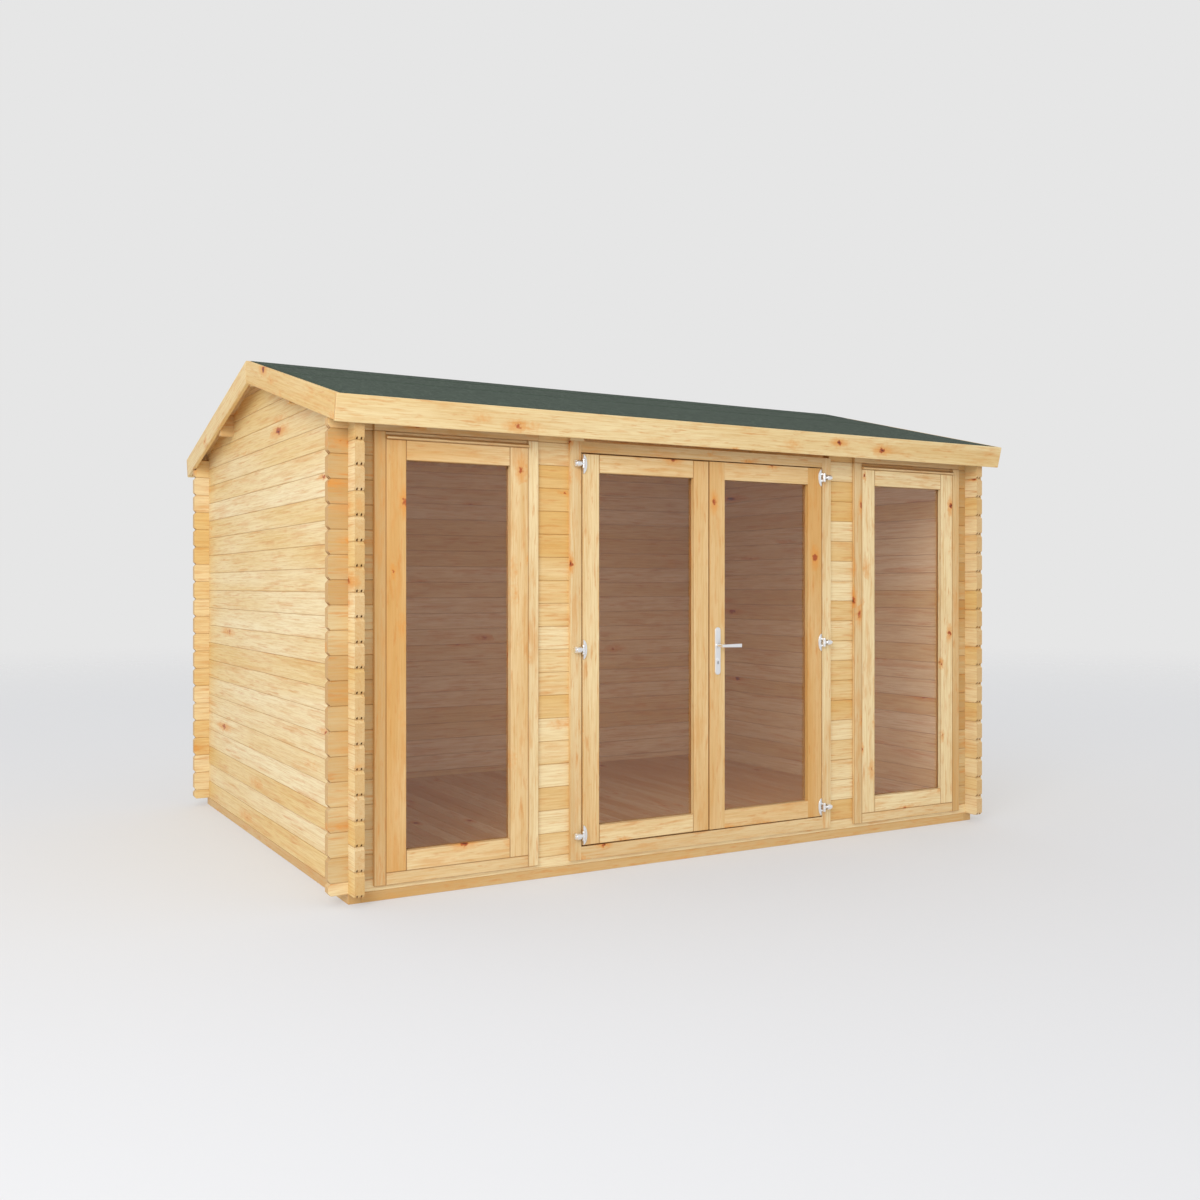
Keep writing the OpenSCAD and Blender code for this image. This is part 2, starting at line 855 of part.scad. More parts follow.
module roof_felt() {
  color(felt_green)
    both_slopes()
      slope_slab(-barge_x + fit, barge_x - fit, 0, -felt_t, board_end_u);
}

module left_bargeboards() {
  color(pine_light)
    both_slopes()
      slope_slab(-verge_x, -barge_x, 0, -barge_h, board_end_u);
}

module right_bargeboards() {
  color(pine_light)
    both_slopes()
      slope_slab(barge_x, verge_x, 0, -barge_h, board_end_u);
}

module front_fascia() {
  color(pine_light)
    fascia();
}

module back_fascia() {
  color(pine_light)
    mirror([0, 1, 0])
      fascia();
}

module left_window_frame() {
  color(pine_light)
    left_hand()
      window_frame();
}

module right_window_frame() {
  color(pine_light)
    window_frame();
}

module left_window_sash() {
  color(pine_light)
    left_hand()
      window_parts("sash");
}

module right_window_sash() {
  color(pine_light)
    window_parts("sash");
}

module left_window_glass() {
  color(tinted_glass)
    left_hand()
      window_parts("glass");
}

module right_window_glass() {
  color(tinted_glass)
    window_parts("glass");
}

module window_beads() {
  color(pine) {
    window_parts("beads");
    left_hand()
      window_parts("beads");
  }
}

module window_drip_bars() {
  bottom = window_head_z0 + fit;
  section = [[face_y - fit, bottom], [face_y - drip_reach, bottom],
    [face_y - drip_reach, bottom + drip_h * half_share], [face_y - fit, bottom + drip_h]];
  color(pine_light)
    for (s = [-1, 1])
      translate([s > 0 ? sash_x0 : -sash_x1, 0, 0])
        rotate([90, 0, 90])
          linear_extrude(sash_x1 - sash_x0)
            polygon(section);
}

module door_frame() {
  width = flange_lap + door_jamb_t;
  color(pine_light) {
    translate([-door_flange_x, 0, 0])
      upright(0, width, stop_w, head_z1);
    left_hand()
      translate([-door_flange_x, 0, 0])
        upright(0, width, stop_w, head_z1);
    block([-door_flange_x, face_y, head_z1 + fit],
      [slot_cover_w - door_flange_x, front_y - fit, board_z1]);
    difference() {
      union() {
        crosspiece(-door_jamb_x, door_jamb_x, sill_points(stop_w, door_sill_top));
        crosspiece(-door_jamb_x, door_jamb_x, door_head_points());
      }
      for (s = [-1, 1])
        block([s * door_jamb_x - stop_w - fit, stop_y - fit, sill_bottom - overrun],
          [s * door_jamb_x + stop_w + fit, frame_back_y + overrun, head_z1 + overrun]);
    }
  }
}

module left_door_leaf() {
  color(pine_light)
    left_hand()
      leaf();
}

module left_door_glass() {
  color(tinted_glass)
    left_hand()
      pane(leaf_x0, leaf_x1, leaf_z0, leaf_z1);
}

module left_door_beads() {
  color(pine)
    left_hand()
      beads(leaf_x0, leaf_x1, leaf_z0, leaf_z1);
}

module right_door_leaf() {
  color(pine_light)
    difference() {
      leaf();
      handle_holes();
    }
}

module right_door_glass() {
  color(tinted_glass)
    pane(leaf_x0, leaf_x1, leaf_z0, leaf_z1);
}

module right_door_beads() {
  color(pine)
    beads(leaf_x0, leaf_x1, leaf_z0, leaf_z1);
}

module jamb_hinges() {
  color(satin_steel)
    for (z = hinge_heights) {
      translate([0, 0, z])
        jamb_hinge();
      left_hand()
        translate([0, 0, z])
          jamb_hinge();
    }
}

module left_leaf_hinges() {
  color(satin_steel)
    for (z = hinge_heights)
      left_hand()
        translate([0, 0, z])
          leaf_hinge();
}

module right_leaf_hinges() {
  color(satin_steel)
    for (z = hinge_heights)
      translate([0, 0, z])
        leaf_hinge();
}

module handle_plates() {
  color(satin_steel) {
    handle_plate(face_y - plate_t - fit);
    handle_plate(sash_back_y + fit);
  }
}

module lock_cylinder() {
  color(satin_steel)
    translate([handle_x, sash_back_y + plate_t, lock_z])
      rotate([90, 0, 0])
        linear_extrude(sash_t + 2 * plate_t)
          lock_outline(0);
}

module door_lever() {
  color(satin_steel) {
    lever_side(face_y, lever_t / 2 - lever_reach);
    lever_side(sash_back_y, lever_reach - lever_t / 2);
    translate([handle_x, sash_back_y, lever_z])
      rotate([90, 0, 0])
        cylinder(r = spindle_r, h = sash_t);
  }
}

bearers();
floor_joists();
floor();
left_wall();
left_gable();
right_wall();
right_gable();
back_wall();
front_bottom_log();
front_left_end();
front_left_pier();
front_right_pier();
front_right_end();
front_head_logs();
ridge_purlin();
side_purlins();
front_roof_boards();
back_roof_boards();
roof_felt();
left_bargeboards();
right_bargeboards();
front_fascia();
back_fascia();
left_window_frame();
right_window_frame();
left_window_sash();
right_window_sash();
left_window_glass();
right_window_glass();
window_beads();
window_drip_bars();
door_frame();
left_door_leaf();
left_door_glass();
left_door_beads();
right_door_leaf();
right_door_glass();
right_door_beads();
jamb_hinges();
left_leaf_hinges();
right_leaf_hinges();
handle_plates();
lock_cylinder();
door_lever();
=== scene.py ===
import math
import random

import bmesh
import bpy
from mathutils import Matrix, Vector


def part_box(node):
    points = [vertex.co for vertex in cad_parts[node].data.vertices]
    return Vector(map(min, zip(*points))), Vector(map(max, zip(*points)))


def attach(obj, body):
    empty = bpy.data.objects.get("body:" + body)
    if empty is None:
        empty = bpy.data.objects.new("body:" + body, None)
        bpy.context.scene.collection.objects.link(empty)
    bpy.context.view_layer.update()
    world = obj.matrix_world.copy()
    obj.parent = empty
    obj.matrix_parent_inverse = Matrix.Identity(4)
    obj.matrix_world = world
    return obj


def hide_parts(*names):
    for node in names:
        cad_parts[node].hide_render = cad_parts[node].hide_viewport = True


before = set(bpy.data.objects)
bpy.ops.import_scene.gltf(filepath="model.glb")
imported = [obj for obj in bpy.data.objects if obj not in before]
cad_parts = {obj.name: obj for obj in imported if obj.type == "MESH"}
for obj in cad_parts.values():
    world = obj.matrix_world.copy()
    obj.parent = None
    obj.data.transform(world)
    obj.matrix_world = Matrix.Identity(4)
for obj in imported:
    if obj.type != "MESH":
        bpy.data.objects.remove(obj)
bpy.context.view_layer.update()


# Bearers and floor joists. Planed pine battens that lie flat on the ground: four bearers butted
# round the edge under the walls, and joists between them that carry the floor. Each batten is a
# separate piece with its arrises eased by the planer, nailed at the corners.

def linear(code):
    """An sRGB hex colour as linear red, green and blue with full alpha."""
    parts = [int(code[i:i + 2], 16) / 255 for i in (1, 3, 5)]
    return tuple(c / 12.92 if c <= 0.04045 else ((c + 0.055) / 1.055) ** 2.4 for c in parts) + (1.0,)


def add(tree, kind, inputs=None, **settings):
    """A node with its settings. An input is a value, a socket, or a node, whose first output in use counts."""
    node = tree.nodes.new(kind)
    for name, value in settings.items():
        setattr(node, name, value)
    for key, value in (inputs or {}).items():
        usable = [s for s in node.inputs if s.enabled]
        socket = usable[key] if isinstance(key, int) else next(s for s in usable if s.name == key)
        if isinstance(value, bpy.types.Node):
            value = next(s for s in value.outputs if s.enabled)
        if isinstance(value, bpy.types.NodeSocket):
            tree.links.new(value, socket)
        else:
            socket.default_value = value
    return node


def bare_finish(name):
    """A new material with nothing in its node tree, and that tree."""
    material = bpy.data.materials.new(name)
    material.use_nodes = True
    material.node_tree.nodes.clear()
    return material, material.node_tree


def board_grain(tree):
    """Where a point lies in its own board, the board's tone, its end grain and the painted shade on its eased
    edges, which the piece carries as attributes."""
    grain, tone, ends, painted_edge_shade = [add(tree, "ShaderNodeAttribute", attribute_name=name)
                                for name in ("grain", "tone", "ends", "painted_edge_shade")]
    return grain.outputs["Vector"], tone.outputs["Fac"], ends.outputs["Fac"], painted_edge_shade.outputs["Fac"]


def pine(name, grain_of, pale, warm, knots, spread=1.0):
    """Planed pine, stained with a clear satin finish: cream early wood that turns honey from board to board,
    short darker fibres and flecks, faint growth rings, orange wisps of resin, ragged red-brown knots in an
    orange
    glow, and one layer of darkening: darker joints, and painted shade on the groove faces of logs and on the
    eased edges of boards. A spread under 1 draws knots and resin out along the grain. Real
    fibres are under 1 mm wide and rings 3 to 4 mm apart; they are drawn 4 to 8 mm wide and 14 mm apart, so
    that they show."""
    material, tree = bare_finish(name)
    grain, tone, ends, joint_and_shade = grain_of(tree)
    split = add(tree, "ShaderNodeSeparateXYZ", {0: grain})

    # Knots: one may sit in each 150 mm of the tree, 9 to 25 mm in radius, with a ragged edge. The core and
    # rim fade out at shares of the radius, and the glow further off, more so along the grain.
    knots_per_metre, rags_per_metre, rag = 6.5, 55.0, 0.035
    least_radius, more_radius, out_of_reach = 0.009, 0.016, 99.0
    drawn = add(tree, "ShaderNodeVectorMath", {0: grain, 1: (spread, 1.0, 1.0)}, operation="MULTIPLY")
    wander = add(tree, "ShaderNodeTexNoise", {"Vector": drawn, "Scale": rags_per_metre, "Detail": 3.0})
    shift = add(tree, "ShaderNodeVectorMath", {0: wander.outputs["Color"], 1: (0.5, 0.5, 0.5)},
                operation="SUBTRACT")
    shift = add(tree, "ShaderNodeVectorMath", {0: shift, 1: (rag, rag, rag)}, operation="MULTIPLY")
    seat = add(tree, "ShaderNodeVectorMath", {0: drawn, 1: shift}, operation="ADD")
    cell = add(tree, "ShaderNodeTexVoronoi", {"Vector": seat, "Scale": knots_per_metre, "Randomness": 1.0})
    draw = add(tree, "ShaderNodeSeparateColor", {0: cell.outputs["Color"]})
    away = add(tree, "ShaderNodeVectorMath", {0: seat, 1: cell.outputs["Position"]}, operation="SUBTRACT")
    radius = add(tree, "ShaderNodeMath", {0: draw.outputs[1], 1: more_radius, 2: least_radius},
                 operation="MULTIPLY_ADD")
    absent = add(tree, "ShaderNodeMath", {0: draw.outputs[0], 1: 1.0 - knots}, operation="LESS_THAN")
    reach = []
    for stretch in ((0.9, 1.0, 1.0), (0.4, 1.0, 1.0)):
        span = add(tree, "ShaderNodeVectorMath", {0: away, 1: stretch}, operation="MULTIPLY")
        span = add(tree, "ShaderNodeVectorMath", {0: span}, operation="LENGTH")
        span = add(tree, "ShaderNodeMath", {0: span, 1: radius}, operation="DIVIDE")
        reach.append(add(tree, "ShaderNodeMath", {0: absent, 1: out_of_reach, 2: span},
                         operation="MULTIPLY_ADD"))
    core, rim, glow = [add(tree, "ShaderNodeMapRange", {0: span, 1: full, 2: gone, 3: 1.0, 4: 0.0},
                           interpolation_type="SMOOTHSTEP")
                       for span, full, gone in ((reach[0], 0.2, 0.55), (reach[0], 0.58, 0.95),
                                                (reach[1], 0.4, 1.9))]

    # Growth rings: bands round a pith line that wanders slowly, pushed aside by the knots, in places faint
    rings_per_metre, pith_wander, knot_push = 70.0, 0.07, 0.012
    slow = add(tree, "ShaderNodeVectorMath", {0: grain, 1: (1.4, 7.0, 7.0)}, operation="MULTIPLY")
    drift = add(tree, "ShaderNodeTexNoise", {"Vector": slow, "Scale": 1.0, "Detail": 3.0})
    across = add(tree, "ShaderNodeMath", {0: drift, 1: pith_wander, 2: split.outputs[1]},
                 operation="MULTIPLY_ADD")
    across = add(tree, "ShaderNodeMath", {0: glow, 1: knot_push, 2: across}, operation="MULTIPLY_ADD")
    ring_at = add(tree, "ShaderNodeCombineXYZ", {0: across, 1: split.outputs[2], 2: 0.0})
    ring_at = add(tree, "ShaderNodeVectorMath", {0: ring_at}, operation="LENGTH")
    ring_at = add(tree, "ShaderNodeMath", {0: ring_at, 1: rings_per_metre, 2: tone}, operation="MULTIPLY_ADD")
    rings = add(tree, "ShaderNodeTexNoise", {"W": ring_at, "Scale": 1.0, "Detail": 1.0},
                noise_dimensions="1D")
    rings = add(tree, "ShaderNodeMapRange", {0: rings, 1: 0.45, 2: 0.7})
    faint = add(tree, "ShaderNodeMapRange", {0: drift, 1: 0.4, 2: 0.62})
    rings = add(tree, "ShaderNodeMath", {0: rings, 1: faint}, operation="MULTIPLY")

    # Streaks, by how many come in a metre along and across the grain: fibres 300 by 8 mm, flecks 120 by 4 mm,
    # and resin in patches 40 mm and wisps 15 mm wide, 190 and 110 mm long where the spread is 1
    streaks = []
    for often, detail, low, high in (((3.3, 125.0, 125.0), 3.0, 0.43, 0.66),
                                     ((8.0, 250.0, 250.0), 2.0, 0.47, 0.68),
                                     ((5.2 * spread, 25.0, 25.0), 4.0, 0.5, 0.7),
                                     ((9.0 * spread, 66.0, 66.0), 4.0, 0.55, 0.72)):
        run = add(tree, "ShaderNodeVectorMath", {0: grain, 1: often}, operation="MULTIPLY")
        run = add(tree, "ShaderNodeTexNoise", {"Vector": run, "Scale": 1.0, "Detail": detail, "Roughness": 0.6})
        streaks.append(add(tree, "ShaderNodeMapRange", {0: run, 1: low, 2: high},
                           interpolation_type="SMOOTHSTEP"))
    fibre, fleck, patch, wisp = streaks

    # A slow turn from cream to honey, and over it each layer with the most that it covers
    tone_share, turn_share, cream_bias = 1.0, 1.5, -0.75
    turn = add(tree, "ShaderNodeVectorMath", {0: grain, 1: (0.7, 6.0, 6.0)}, operation="MULTIPLY")
    turn = add(tree, "ShaderNodeTexNoise", {"Vector": turn, "Scale": 1.0, "Detail": 1.0})
    honey = add(tree, "ShaderNodeMath", {0: tone, 1: tone_share, 2: cream_bias}, operation="MULTIPLY_ADD")
    honey = add(tree, "ShaderNodeMath", {0: turn, 1: turn_share, 2: honey}, operation="MULTIPLY_ADD")
    colour = add(tree, "ShaderNodeMix", {"Factor": honey, "A": linear(pale), "B": linear(warm)},
                 data_type="RGBA")
    # The layer after the end grain is darker joints with painted shade: the groove faces of logs and the eased
    # edges of boards.
    for layer, most, tint in ((rings, 0.32, "#D39C48"), (fibre, 0.28, "#CF9A45"), (fleck, 0.24, "#C38C3E"),
                              (patch, 0.4, "#D9933F"), (wisp, 0.5, "#D2832F"), (ends, 0.65, "#CB9D5E"),
                              (joint_and_shade, 0.32, "#A0672A"), (glow, 0.7, "#E39434"), (rim, 0.9, "#B04A12"),
                              (core, 0.9, "#531B09")):
        share = add(tree, "ShaderNodeMath", {0: layer, 1: most}, operation="MULTIPLY")
        colour = add(tree, "ShaderNodeMix", {"Factor": share, "A": colour, "B": linear(tint)},
                     data_type="RGBA")

    relief = add(tree, "ShaderNodeMath", {0: rings, 1: 0.5, 2: fibre}, operation="MULTIPLY_ADD")
    bump = add(tree, "ShaderNodeBump", {"Strength": 0.25, "Distance": 0.0008, "Height": relief}, invert=True)
    gloss = add(tree, "ShaderNodeMapRange", {0: fibre, 1: 0.0, 2: 1.0, 3: 0.5, 4: 0.6})
    surface = add(tree, "ShaderNodeBsdfPrincipled", {"Base Color": colour, "Roughness": gloss, "Normal": bump})
    add(tree, "ShaderNodeOutputMaterial", {"Surface": surface.outputs["BSDF"]})
    return material


def edges_at(verts):
    """The edges that touch vertices, each once and in a fixed order."""
    return list(dict.fromkeys(e for v in verts for e in v.link_edges))


def faces_at(verts):
    """The faces that touch vertices, each once and in a fixed order."""
    return list(dict.fromkeys(f for v in verts for f in v.link_faces))


def loose_boards(bm):
    """The separate boards of a mesh from left to right, each as a list of its vertices."""
    seen, found = set(), []
    for first in bm.verts:
        if first in seen:
            continue
        seen.add(first)
        group, edge = [], [first]
        while edge:
            vert = edge.pop()
            group.append(vert)
            for link in vert.link_edges:
                other = link.other_vert(vert)
                if other not in seen:
                    seen.add(other)
                    edge.append(other)
        found.append(group)
    return sorted(found, key=lambda g: tuple(round(sum(v.co[i] for v in g) / len(g), 4) for i in range(3)))


def set_grain(bm, draws, shades=(), edge_shade=0.0):
    """Gives each board its run of grain, along its longest edge, its tone, its end grain and painted shade on
    its eased edges, a darkening of the given strength. The boards are taken from left to right, and those past
    the end of shades get a tone by chance."""
    side_on, end_on, square_on = 0.3, 0.7, 0.95
    grain = bm.verts.layers.float_vector.new("grain")
    tone = bm.verts.layers.float.new("tone")
    ends = bm.faces.layers.float.new("ends")
    painted_edge_shade = bm.faces.layers.float.new("painted_edge_shade")
    for number, board in enumerate(loose_boards(bm)):
        edges, faces = edges_at(board), faces_at(board)
        longest = max(edges, key=lambda e: round(e.calc_length(), 5))
        along = (longest.verts[1].co - longest.verts[0].co).normalized()
        flats = [f for f in faces if abs(f.normal.dot(along)) < side_on]
        through = max(flats, key=lambda f: round(f.calc_area(), 7)).normal.normalized()
        through = (through - along * through.dot(along)).normalized()
        across = through.cross(along)
        middle = sum((v.co for v in board), Vector()) / len(board)
        start = Vector((draws.uniform(0, 60), draws.uniform(-0.05, 0.05), draws.uniform(0.025, 0.09)))
        shade = draws.random()
        if number < len(shades):
            shade = shades[number]
        for vert in board:
            way = vert.co - middle
            vert[grain] = Vector((way.dot(along), way.dot(across), way.dot(through))) + start
            vert[tone] = shade
        for face in faces:
            face[ends] = 1.0 if abs(face.normal.dot(along)) > end_on else 0.0
            squarest = max(abs(face.normal.dot(a)) for a in (along, across, through))
            # Painted shade: the eased faces, square to none of the board's axes, are darkened by the given
            # share.
            face[painted_edge_shade] = edge_shade if squarest < square_on else 0.0


def ease(bm, edges, width, segments):
    """Rounds edges over."""
    bmesh.ops.bevel(bm, geom=edges, offset=width, offset_type="OFFSET", segments=segments, profile=0.5,
                    affect="EDGES", material=-1, clamp_overlap=True)


def planed(node, width):
    """A copy of a node's boards, merged into solids, with the long sharp edges eased."""
    sharp_angle = 0.35
    bm = bmesh.new()
    bm.from_mesh(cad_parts[node].data)
    bmesh.ops.remove_doubles(bm, verts=bm.verts, dist=1e-5)
    bmesh.ops.dissolve_limit(bm, angle_limit=math.radians(1), verts=bm.verts, edges=bm.edges)
    sharp = [e for e in bm.edges
             if e.is_manifold and e.calc_face_angle() > sharp_angle and e.calc_length() > 4 * width]
    ease(bm, sharp, width, 2)
    return bm


def stand(name, data):
    """A new object in the scene."""
    thing = bpy.data.objects.new(name, data)
    bpy.context.scene.collection.objects.link(thing)
    return thing


def put(bm, name, body, material, node):
    """Makes a mesh into a piece that rides on a body and stands for a node."""
    mesh = bpy.data.meshes.new(name)
    bm.to_mesh(mesh)
    bm.free()
    mesh.materials.clear()
    mesh.materials.append(material)
    piece = stand(name, mesh)
    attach(piece, body)
    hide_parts(node)
    return piece


def put_planed(node, body, width, material, shades=(), edge_shade=0.0):
    """Puts planed boards with their grain in the place of a node."""
    boards = planed(node, width)
    set_grain(boards, draws, shades, edge_shade)
    put(boards, "planed_" + node, body, material, node)


draws = random.Random(11)
batten_arris = 0.002
# These battens are a darker honey than the other pine: painted shade, for the contact shade along the ground.
bearer_pine_painted_shade = pine("stained_pine_battens_painted_shade", board_grain, "#E4C48C", "#CFA263", 0.3)
for node in ("bearers", "floor_joists"):
    put_planed(node, "cabin", batten_arris, bearer_pine_painted_shade)


# Floor. Tongued and grooved pine boards that run front to back across the joists, with a small
# V where two boards meet. Each board is planed, secret-nailed through its tongue.

def block(bm, low, high):
    """A square-edged block between two corners, as its vertices."""
    low, high = Vector(low), Vector(high)
    matrix = Matrix.Translation((low + high) / 2) @ Matrix.Diagonal((*(high - low), 1.0))
    return bmesh.ops.create_cube(bm, size=1.0, matrix=matrix)["verts"]


floor_low, floor_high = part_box("floor")
board_count, board_joint, floor_v = 41, 0.0006, 0.002
board_pitch = (floor_high.x - floor_low.x) / board_count
boards = bmesh.new()
for i in range(board_count):
    start = floor_low.x + i * board_pitch
    block(boards, (start + board_joint / 2, floor_low.y, floor_low.z),
          (start + board_pitch - board_joint / 2, floor_high.y, floor_high.z))
ease(boards, [e for e in boards.edges if all(v.co.z > floor_high.z - 0.001 for v in e.verts)
              and abs(e.verts[0].co.y - e.verts[1].co.y) > 1], floor_v, 1)
set_grain(boards, draws)
floor_pine = pine("floor_boards_pine", board_grain, "#EFD6A4", "#DFB575", 0.4)
put(boards, "floor_boards", "cabin", floor_pine, "floor")


# Log walls. Squared pine logs, 44 mm thick and 110 mm high, machined with two tongues and grooves and
# stacked flush. They notch over each other at the corners and run on past them to bevelled tips.
# The front wall is cut into short lengths between its windows and doors.

log_pitch = 0.110
side_start, front_start = 0.045, 0.100
side_middle, front_middle = 1.888, 1.388
joint_edge, joint_heart = 0.0035, 0.001
groove_reach = 0.0145


def log_grain(run, start, middle, seed):
    """Grain of stacked logs from Object coordinates: each course has its own place in the tree, its tone, darker
    joints, and painted shade on the faces of the grooves beside its tongues, which show as dark slots in the
    tips."""
    groove_shade = 3.0

    def coordinates(tree):
        spot = add(tree, "ShaderNodeTexCoord").outputs["Object"]
        spot = add(tree, "ShaderNodeSeparateXYZ", {0: spot})
        along, through = (spot.outputs[i] for i in ((0, 1) if run == "x" else (1, 0)))
        course = add(tree, "ShaderNodeMath", {0: spot.outputs[2], 1: start}, operation="SUBTRACT")
        course = add(tree, "ShaderNodeMath", {0: course, 1: log_pitch}, operation="DIVIDE")
        number = add(tree, "ShaderNodeMath", {0: course}, operation="FLOOR")
        number = add(tree, "ShaderNodeMath", {0: number, 1: seed}, operation="ADD")
        draw = add(tree, "ShaderNodeTexWhiteNoise", {"W": number}, noise_dimensions="1D")
        chance = add(tree, "ShaderNodeSeparateColor", {0: draw.outputs["Color"]})
        across = add(tree, "ShaderNodeMath", {0: course}, operation="FRACT")
        joint_and_shade = add(tree, "ShaderNodeMath", {0: across, 1: 0.5}, operation="SUBTRACT")
        joint_and_shade = add(tree, "ShaderNodeMath", {0: joint_and_shade}, operation="ABSOLUTE")
        joint_and_shade = add(tree, "ShaderNodeMapRange", {0: joint_and_shade, 1: 0.5 - joint_edge / log_pitch,
                                                 2: 0.5 - joint_heart / log_pitch})

        # The place in the tree: up to 60 m along, 50 mm either way across, and 30 to 90 mm from the pith
        across = add(tree, "ShaderNodeMath", {0: across, 1: log_pitch, 2: -log_pitch / 2},
                     operation="MULTIPLY_ADD")
        across = add(tree, "ShaderNodeMath", {0: chance.outputs[1], 1: 0.1, 2: across},
                     operation="MULTIPLY_ADD")
        across = add(tree, "ShaderNodeMath", {0: across, 1: 0.05}, operation="SUBTRACT")
        along = add(tree, "ShaderNodeMath", {0: chance.outputs[0], 1: 60.0, 2: along},
                    operation="MULTIPLY_ADD")
        depth = add(tree, "ShaderNodeMath", {0: through, 1: middle}, operation="SUBTRACT")
        depth = add(tree, "ShaderNodeMath", {0: chance.outputs[2], 1: 0.06, 2: depth},
                    operation="MULTIPLY_ADD")
        depth = add(tree, "ShaderNodeMath", {0: depth, 1: 0.03}, operation="ADD")
        grain = add(tree, "ShaderNodeCombineXYZ", {0: along, 1: across, 2: depth})

        # End grain on faces square to the run, and painted shade on those inside the log that lie along it, the
        # faces of the grooves
        facing = add(tree, "ShaderNodeTexCoord").outputs["Normal"]
        facing = add(tree, "ShaderNodeSeparateXYZ", {0: facing})
        ends = add(tree, "ShaderNodeMath", {0: facing.outputs[0 if run == "x" else 1]}, operation="ABSOLUTE")
        flank = add(tree, "ShaderNodeMath", {0: ends, 1: 0.3}, operation="LESS_THAN")
        ends = add(tree, "ShaderNodeMapRange", {0: ends, 1: 0.6, 2: 0.9})
        inside = add(tree, "ShaderNodeMath", {0: through, 1: middle}, operation="SUBTRACT")
        inside = add(tree, "ShaderNodeMath", {0: inside}, operation="ABSOLUTE")
        inside = add(tree, "ShaderNodeMath", {0: inside, 1: groove_reach}, operation="LESS_THAN")
        inside = add(tree, "ShaderNodeMath", {0: inside, 1: flank}, operation="MULTIPLY")
        # The joints darken, and the groove faces get painted shade on top.
        joint_and_shade = add(tree, "ShaderNodeMath", {0: inside, 1: groove_shade, 2: joint_and_shade}, operation="MULTIPLY_ADD")
        return grain.outputs[0], draw.outputs["Value"], ends, joint_and_shade
    return coordinates


def coat(node, material):
    """Gives a CAD node its finish."""
    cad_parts[node].data.materials.clear()
    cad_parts[node].data.materials.append(material)


log_runs = [(hand + part, "y", side_start, side * side_middle)
            for hand, side in (("left", -1), ("right", 1)) for part in ("_wall", "_gable")]
log_runs.append(("back_wall", "x", front_start, front_middle))
log_runs += [("front_" + part, "x", front_start, -front_middle) for part in
             ("bottom_log", "left_end", "left_pier", "right_pier", "right_end", "head_logs")]
for i, (node, run, start, middle) in enumerate(log_runs):
    # Front logs take a warmer, darker cream and honey than the other logs of the same pine: painted shade for
    # the front faces, which get less light. The two end pieces of the front wall are darker again, painted
    # shade.
    cream, honey = ("#F8E3B2", "#E5B96F") if node.startswith("front") else ("#FAE7B9", "#EECD88")
    if node in ("front_left_end", "front_right_end"):
        cream, honey = "#DEC593", "#C8A269"
    spread, knots = (0.7, 0.25) if run == "x" else (0.4, 0.42)
    coat(node, pine("log_pine_" + node, log_grain(run, start, middle, 17.0 + 40 * i), cream, honey, knots,
                    spread))


# Purlins. A ridge beam and one beam half-way up each slope, planed pine on edge, let into the gables
# and running out to the bargeboards. They carry the roof boards.

roof_pine = pine("roof_pine", board_grain, "#F0D8A6", "#DFB678", 0.4)
for node in ("ridge_purlin", "side_purlins"):
    put_planed(node, "cabin", batten_arris, roof_pine)


# Roof boards. Tongued and grooved pine boards, 19 mm thick, nailed down the slope from the ridge to
# the eaves, with a V joint on the face that shows from inside and under the eaves.

roof_board_count, roof_v = 44, 0.003
for node in ("front_roof_boards", "back_roof_boards"):
    low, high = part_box(node)
    boards = bmesh.new()
    end = sorted({(round(v.co.y, 5), round(v.co.z, 5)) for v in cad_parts[node].data.vertices})
    middle = [sum(p[i] for p in end) / len(end) for i in (0, 1)]
    end.sort(key=lambda p: math.atan2(p[1] - middle[1], p[0] - middle[0]))
    pitch = (high.x - low.x) / roof_board_count
    for i in range(roof_board_count):
        corners = [boards.verts.new((low.x + i * pitch + board_joint / 2, y, z)) for y, z in end]
        section = boards.faces.new(corners)
        grown = bmesh.ops.extrude_face_region(boards, geom=[section])
        moved = [v for v in grown["geom"] if isinstance(v, bmesh.types.BMVert)]
        bmesh.ops.translate(boards, verts=moved, vec=(pitch - board_joint, 0, 0))
    bmesh.ops.recalc_face_normals(boards, faces=boards.faces)
    under = [f for f in boards.faces if f.normal.z < -0.9]
    ease(boards, [e for f in under for e in f.edges if abs(e.verts[0].co.x - e.verts[1].co.x) < 0.001],
         roof_v, 1)
    set_grain(boards, draws)
    put(boards, "laid_" + node, "cabin", roof_pine, node)


# Roof felt. Green mineral felt in strips along the roof: one from the eaves, one lapped over it, and
# a cap over the ridge. The laps are rolled down hot, so their edges hardly show.

felt_slope = math.radians(14)
felt_t = 0.003
felt_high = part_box("roof_felt")[1]
slope_length = felt_high.y / math.cos(felt_slope)
lap_at, lap, lap_rise = 0.62, 0.075, 0.0007
cap_reach, cap_rise = 0.26, 0.0011
taper, ridge_gap = 0.05, 0.004
ridge_dip, ridge_dip_reach = 0.002, 0.02


def on_roof(x, u, rise):
    """A point u metres down a slope from the ridge, minus on the front one, and a rise over the felt's level."""
    side = -1.0 if u < 0 else 1.0
    return Vector((x, side * (abs(u) * math.cos(felt_slope) + rise * math.sin(felt_slope)),
                   felt_high.z - abs(u) * math.sin(felt_slope) + rise * math.cos(felt_slope)))


